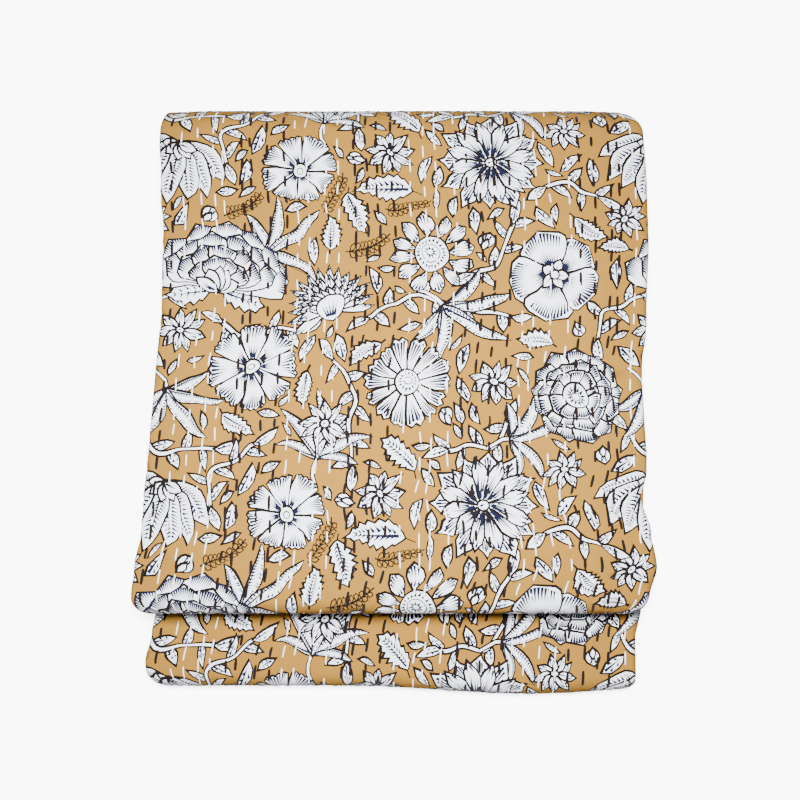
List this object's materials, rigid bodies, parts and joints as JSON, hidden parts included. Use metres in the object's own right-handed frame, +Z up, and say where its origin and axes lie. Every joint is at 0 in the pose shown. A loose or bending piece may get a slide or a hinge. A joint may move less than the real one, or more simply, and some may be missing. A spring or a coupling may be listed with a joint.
{
  "type": "folded quilt",
  "caption": "Printed cotton quilt with rows of running stitch, folded into a flat bundle with a deep roll at the back and two folded edges in front.",
  "frame": {"origin": "on the surface that the bundle lies on, under the middle of its box", "axes": "+X to the right along the folded edges, +Y towards the deep roll at the back, +Z up through the layers"},
  "size_m": [0.3965, 0.4661, 0.0584],
  "materials": {
    "printed_cotton": "matt woven cotton, printed and washed soft"
  },
  "bodies": {
    "root": {"quilt": "printed_cotton"}
  },
  "joints": []
}
